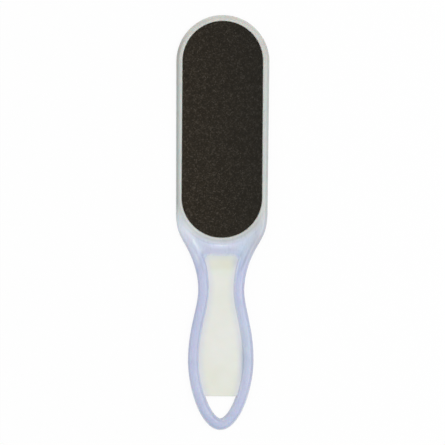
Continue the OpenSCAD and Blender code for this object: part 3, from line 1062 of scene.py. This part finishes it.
class Material:
    """A material with its nodes, which are added one by one and linked by socket."""

    def __init__(self, name, **shader):
        self.data = bpy.data.materials.new(name)
        self.data.use_nodes = True
        self.shader = self.data.node_tree.nodes["Principled BSDF"]
        for socket, value in shader.items():
            self.shader.inputs[socket.replace("_", " ")].default_value = value

    def add(self, kind, values=None, **settings):
        """A node with its settings, and its inputs' values or the outputs that feed them."""
        node = self.data.node_tree.nodes.new("ShaderNode" + kind)
        for name, value in settings.items():
            setattr(node, name, value)
        for socket, value in (values or {}).items():
            self.feed(node.inputs[socket], value)
        return node

    def feed(self, socket, value):
        if isinstance(value, bpy.types.NodeSocket):
            self.data.node_tree.links.new(value, socket)
        else:
            socket.default_value = value

    def place(self):
        """Place in the row frame, in metres."""
        return self.add("TexCoord").outputs["Object"]

    def read(self, name):
        """A number that was stored on the mesh."""
        return self.add("Attribute", attribute_name=name).outputs["Fac"]

    def noise(self, size, detail=2.0, stretch=None):
        """Noise from 0 to 1 whose patches are about size metres across."""
        place = self.place()
        if stretch:
            place = self.add("Mapping", {"Vector": place, "Scale": stretch}).outputs["Vector"]
        return self.add("TexNoise", {"Vector": place, "Scale": 1 / size, "Detail": detail}).outputs["Fac"]

    def ranged(self, value, low, high, to_low=0.0, to_high=1.0):
        ranges = {"Value": value, "From Min": low, "From Max": high, "To Min": to_low, "To Max": to_high}
        return self.add("MapRange", ranges).outputs["Result"]

    def ramp(self, value, stops):
        """Colours at their places along value."""
        node = self.add("ValToRGB", {"Fac": value})
        ramp = node.color_ramp
        while len(ramp.elements) < len(stops):
            ramp.elements.new(1)
        for element, (at, colour) in zip(ramp.elements, stops):
            element.position = at
            element.color = colour
        return node.outputs["Color"]

    def along(self, stops):
        """Colours at their places along the file, from the tail tip."""
        y = self.add("SeparateXYZ", {"Vector": self.place()}).outputs["Y"]
        share = self.ranged(y, TAIL_Y, TAIL_Y + LENGTH)
        return self.ramp(share, [(at / LENGTH, colour) for at, colour in stops])

    def mixed(self, share, a, b, blend="MIX"):
        node = self.add("Mix", data_type="RGBA", blend_type=blend)
        self.feed(node.inputs[0], share)
        self.feed(node.inputs[6], a)
        self.feed(node.inputs[7], b)
        return node.outputs[2]

    def bumped(self, height, distance, strength):
        values = {"Height": height, "Distance": distance, "Strength": strength}
        return self.add("Bump", values).outputs["Normal"]

    def finish(self, **sockets):
        for socket, value in sockets.items():
            self.feed(self.shader.inputs[socket.replace("_", " ")], value)
        return self.data


def frame_plastic():
    """Milky translucent plastic, grey round the head and lavender on the neck and the handle, with painted
    shade, highlights and light laid over it.
    """
    m = Material("frame_plastic", IOR=1.49, Coat_Weight=0.1, Coat_Roughness=0.25,
                 Subsurface_Weight=0.25, Subsurface_Scale=FRAME_SCATTER)
    # Painted shade at the edges, along the core's edge, over the window and in its corners, painted
    # highlights on the left of the neck, at the pad's lip and on the arc below the pad, and painted light on
    # the loop's and the neck's edges are laid over the plastic's colour below
    tint = m.mixed(m.read("cool"), m.along(FRAME_TINTS), FRAME_COOL, "MULTIPLY")
    tint = m.mixed(m.read("cyan"), tint, BEAD_CYAN)
    tint = m.mixed(m.read("warm"), tint, FRAME_WARM, "MULTIPLY")
    tint = m.mixed(m.read("painted_highlight"), tint, STREAK_HIGHLIGHT_PALE)
    tint = m.mixed(m.read("ring"), tint, FRAME_RING, "MULTIPLY")
    tint = m.mixed(m.read("deep"), tint, FRAME_DEEP, "MULTIPLY")
    tint = m.mixed(m.read("shade"), tint, FRAME_SHADE, "MULTIPLY")
    # The plate seen through the thin foot, and painted light on the loop's and the neck's edges
    tint = m.mixed(m.read("foot"), tint, FOOT_PALE_AND_PAINTED_LIGHT)
    tint = m.mixed(m.read("corner"), tint, CORNER_SHADE_GREY, "MULTIPLY")
    tint = m.mixed(m.read("lip_highlight"), tint, LIP_HIGHLIGHT_PALE)
    # Painted highlights on the facets and the arc below the pad
    tint = m.mixed(m.read("facet_highlight"), tint, FACET_HIGHLIGHT_PALE)
    tint = m.mixed(m.read("line"), tint, ARC_HIGHLIGHT_PALE)
    tint = m.mixed(m.read("window"), tint, WINDOW_PALE)
    cloud = m.ranged(m.noise(FRAME_CLOUD_SIZE, detail=3.0), *WIDE_SPAN)
    tint = m.mixed(cloud, tint, CLOUD_TINT, "MULTIPLY")
    grain = m.noise(FRAME_GRAIN_SIZE, detail=4.0, stretch=FRAME_GRAIN_STRETCH)
    rough = m.ranged(grain, *WIDE_SPAN, *FRAME_ROUGH)
    skin = m.bumped(m.noise(FRAME_SKIN_SIZE, detail=3.0), SKIN_DEPTH, strength=0.5)
    return m.finish(Base_Color=tint, Roughness=rough, Normal=skin)


def core_plastic():
    """Off-white rigid plastic with a fine satin skin, with painted bluish shade beside the frame, the bead's
    painted shadow and painted shade in the window's corners and under its edge.
    """
    m = Material("core_plastic", IOR=1.5, Subsurface_Weight=0.15, Subsurface_Scale=CORE_SCATTER)
    tint = m.mixed(m.read("side"), m.along(CORE_TINTS), CORE_SIDE_SHADE, "MULTIPLY")
    tint = m.mixed(m.read("feather_shade"), tint, FEATHER_SHADE_BLUE)
    tint = m.mixed(m.read("shadow"), tint, SHADOW_BLUE)
    tint = m.mixed(m.read("corner"), tint, CORNER_SHADE_GREY, "MULTIPLY")
    cloud = m.ranged(m.noise(CORE_CLOUD_SIZE), *WIDE_SPAN)
    tint = m.mixed(cloud, tint, CORE_CLOUD, "MULTIPLY")
    rough = m.ranged(m.noise(CORE_GRAIN_SIZE, detail=4.0), *WIDE_SPAN, *CORE_ROUGH)
    skin = m.bumped(m.noise(CORE_SKIN_SIZE, detail=3.0), SKIN_DEPTH, strength=0.6)
    return m.finish(Base_Color=tint, Roughness=rough, Normal=skin)


def grit_coat(name, dark, middle, light, size):
    """Brown-black grit in resin: grains about size metres across, a few paler, dark between them with
    painted shade in the grooves, and painted shade towards the right and the top.
    """
    m = Material(name, IOR=1.55, Specular_IOR_Level=0.15)
    grains = m.add("TexVoronoi", {"Vector": m.place(), "Scale": 1 / size}).outputs
    chips = m.add("TexVoronoi", {"Vector": m.place(), "Scale": CHIPS_TO_GRAIN / size}).outputs
    pick = m.add("SeparateColor", {"Color": grains["Color"]}).outputs["Red"]
    chip_pick = m.add("SeparateColor", {"Color": chips["Color"]}).outputs["Green"]
    dome = m.ranged(grains["Distance"], *CELL_SPAN, 1, 0)
    chip_dome = m.ranged(chips["Distance"], *CELL_SPAN, CHIP_HEIGHT, 0)
    tint = m.ramp(pick, ((0, dark), (0.5, middle), (1, light)))
    tint = m.mixed(m.ranged(chip_pick, 0.5, 1, 0, CHIP_SHARE), tint, light)
    # Painted shade in the grooves between the grains
    tint = m.mixed(m.ranged(dome, 0, 0.5, GROOVE_SHARE, 0), tint, dark)
    tint = m.mixed(m.ranged(m.noise(PATCH_SIZE), *NARROW_SPAN, 0, PATCH_SHARE), tint, dark)
    place = m.add("SeparateXYZ", {"Vector": m.place()}).outputs
    # Painted shade: the grit darker towards the right and towards the top
    tint = m.mixed(m.ranged(place["X"], -PAD_W / 2, PAD_W / 2), tint, GRIT_SHADE_RIGHT, "MULTIPLY")
    tint = m.mixed(m.ranged(place["Y"], 0, LENGTH / 2), tint, GRIT_SHADE_TOP, "MULTIPLY")
    rough = m.ranged(pick, 0, 1, *GRIT_ROUGH)
    height = m.add("Math", {0: dome, 1: chip_dome}, operation="ADD").outputs[0]
    relief = m.bumped(height, size * GRAIN_DEPTH_SHARE, strength=0.6)
    return m.finish(Base_Color=tint, Roughness=rough, Normal=relief)


def backing_fibre():
    """Pale fibre sheet under the grit."""
    m = Material("backing_fibre", Roughness=0.8)
    fibre = m.noise(FIBRE_SIZE, detail=4.0, stretch=FIBRE_STRETCH)
    tint = m.mixed(m.ranged(fibre, *NARROW_SPAN), FIBRE_PALE, FIBRE_DARK)
    return m.finish(Base_Color=tint, Normal=m.bumped(fibre, FIBRE_DEPTH, strength=0.7))


def adhesive_film():
    """Thin clear adhesive, yellowed a little, with its fine bubbles."""
    m = Material("adhesive_film", IOR=1.47)
    bubbles = m.noise(BUBBLE_SIZE, detail=3.0)
    tint = m.mixed(m.ranged(bubbles, *BUBBLE_SPAN), FILM_CREAM, FILM_PALE)
    return m.finish(Base_Color=tint, Roughness=m.ranged(bubbles, *WIDE_SPAN, *FILM_ROUGH))


def floor_paper():
    """Pale floor that shows white to the camera and keeps the object's shadow."""
    m = Material("floor_paper", Roughness=0.9, Base_Color=FLOOR_WHITE)
    path = m.add("LightPath").outputs
    seen = path["Is Camera Ray"]
    for ray in ("Is Glossy Ray", "Is Transmission Ray"):
        seen = m.add("Math", {0: seen, 1: path[ray]}, operation="MAXIMUM").outputs[0]
    share = m.add("Math", {0: seen, 1: FLOOR_GLOW}, operation="MULTIPLY").outputs[0]
    glow = m.add("Emission", {"Color": (1, 1, 1, 1), "Strength": 1.0}).outputs[0]
    both = m.add("MixShader", {0: share, 1: m.shader.outputs[0], 2: glow}).outputs[0]
    m.feed(m.data.node_tree.nodes["Material Output"].inputs["Surface"], both)
    return m.data


# Pieces


def dress(piece, slot, material, *nodes):
    """Gives a piece its finish and sets it on the body in place of its nodes."""
    piece.data.materials.clear()
    piece.data.materials.append(material)
    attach(piece, "root")
    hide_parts(*nodes)


def add_frame():
    skin = frame_skin("grip_frame_moulding")
    cut(skin, lofted("core_seat", core_levels(0)))
    weld(skin)
    shade(skin)
    spots = Spots(skin)
    store(skin, "shade", frame_shade(spots))
    # Painted shade in deeper blue along the core's edge and over the window
    store(skin, "deep", frame_deep(spots))
    store(skin, "cool", frame_cool(spots))
    store(skin, "cyan", frame_cyan(spots))
    store(skin, "warm", frame_warm(spots))
    # Painted highlights and painted light on the left of the neck
    store(skin, "painted_highlight", frame_painted_highlight(spots))
    # The plate seen through the bead's thin foot, with painted light on the loop's and the neck's edges
    store(skin, "foot", frame_foot_and_painted_light(spots))
    store(skin, "corner", corner_shade(spots))
    # Painted highlight at the pad's edge and along the head tip's edge
    store(skin, "lip_highlight", frame_lip_highlight(spots))
    # Painted highlights: a narrow arc below the pad, and broad faint facets round it
    store(skin, "line", ring_band(spots, RING_LINE_AT, RING_LINE_BAND, RING_LINE_HALF))
    store(skin, "facet_highlight", ring_band(spots, FACET_AT, FACET_BAND, FACET_HALF))
    store(skin, "ring", ease(1 - spots.pocket / RING_GREY_BAND) * spots.below_pad)
    store(skin, "window", frame_window(spots))
    dress(skin, "frame_plastic", frame_plastic(), "grip_frame")


def add_core():
    core = core_panel("core_panel")
    shade(core)
    spots = Spots(core)
    # Painted bluish shade beside the bead, the bead's painted shadow and painted shade in the window's
    # corners
    store(core, "side", between(1 - (spots.outer - BEAD_W) / PANEL_FADE))
    store(core, "feather_shade", core_feather_shade(spots))
    store(core, "shadow", core_shadow(spots))
    store(core, "corner", corner_shade(spots))
    dress(core, "core_plastic", core_plastic(), "core_plate")


def add_pads():
    fibre = backing_fibre()
    coats = {1: grit_coat("coarse_grit", GRIT_DARK, GRIT_BROWN, GRIT_LIGHT, COARSE_SIZE),
             -1: grit_coat("fine_grit", GRIT_DARK, FINE_BROWN, FINE_LIGHT, FINE_SIZE)}
    for over, side, slot, grain in ((1, "front", "coarse_abrasive", COARSE_GRAIN),
                                    (-1, "back", "fine_abrasive", FINE_GRAIN)):
        grit = grit_layer(side + "_grit", GRIT_SEED + over, over, grain)
        shade(grit, math.pi)
        dress(grit, slot, coats[over], side + "_abrasive")
        sheet = backing(side + "_backing", over)
        shade(sheet)
        dress(sheet, slot, fibre, side + "_abrasive")


def add_films():
    film = adhesive_film()
    for name in ("front_adhesive", "back_adhesive"):
        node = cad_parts[name]
        node.data.materials.clear()
        node.data.materials.append(film)


# Floor, light and camera


def add_floor():
    floor = mesh_object("floor", FLOOR_HALF * np.array([(-1, -1, 0), (1, -1, 0), (1, 1, 0), (-1, 1, 0)]),
                        [(0, 1, 2, 3)])
    floor.data.materials.append(floor_paper())


def add_world():
    world = bpy.data.worlds.new("studio")
    world.use_nodes = True
    nodes, links = world.node_tree.nodes, world.node_tree.links
    path = nodes.new("ShaderNodeLightPath")
    lit = nodes["Background"]
    lit.inputs["Strength"].default_value = WORLD_LEVEL
    lit.inputs["Color"].default_value = (1, 1, 1, 1)
    seen = nodes.new("ShaderNodeBackground")
    seen.inputs["Color"].default_value = (1, 1, 1, 1)
    both = nodes.new("ShaderNodeMixShader")
    links.new(path.outputs["Is Camera Ray"], both.inputs[0])
    links.new(lit.outputs[0], both.inputs[1])
    links.new(seen.outputs[0], both.inputs[2])
    links.new(both.outputs[0], nodes["World Output"].inputs["Surface"])
    bpy.context.scene.world = world


def add_lamp(name, place, size, power):
    """A square softbox at this place that faces the middle of the file."""
    lamp = bpy.data.objects.new(name, bpy.data.lights.new(name, "AREA"))
    lamp.data.size = size
    lamp.data.energy = power
    lamp.location = place
    lamp.rotation_euler = (-lamp.location).to_track_quat("-Z", "Y").to_euler()
    bpy.context.scene.collection.objects.link(lamp)


def add_camera():
    camera = bpy.data.objects.new("camera", bpy.data.cameras.new("camera"))
    camera.data.lens = LENS
    camera.data.sensor_width = SENSOR
    height = MIDDLE_Z + PICTURE_WIDTH * LENS / SENSOR
    camera.location = (CAMERA_SIDE, 0, height)
    camera.rotation_euler = (0, 0, CAMERA_ROLL)
    bpy.context.scene.collection.objects.link(camera)
    bpy.context.scene.camera = camera


def main():
    add_frame()
    add_core()
    add_pads()
    add_films()
    add_floor()
    add_world()
    add_lamp("key", KEY_PLACE, KEY_SIZE, KEY_POWER)
    add_lamp("fill", FILL_PLACE, FILL_SIZE, FILL_POWER)
    add_camera()
    bpy.context.scene.view_settings.view_transform = "Standard"


main()
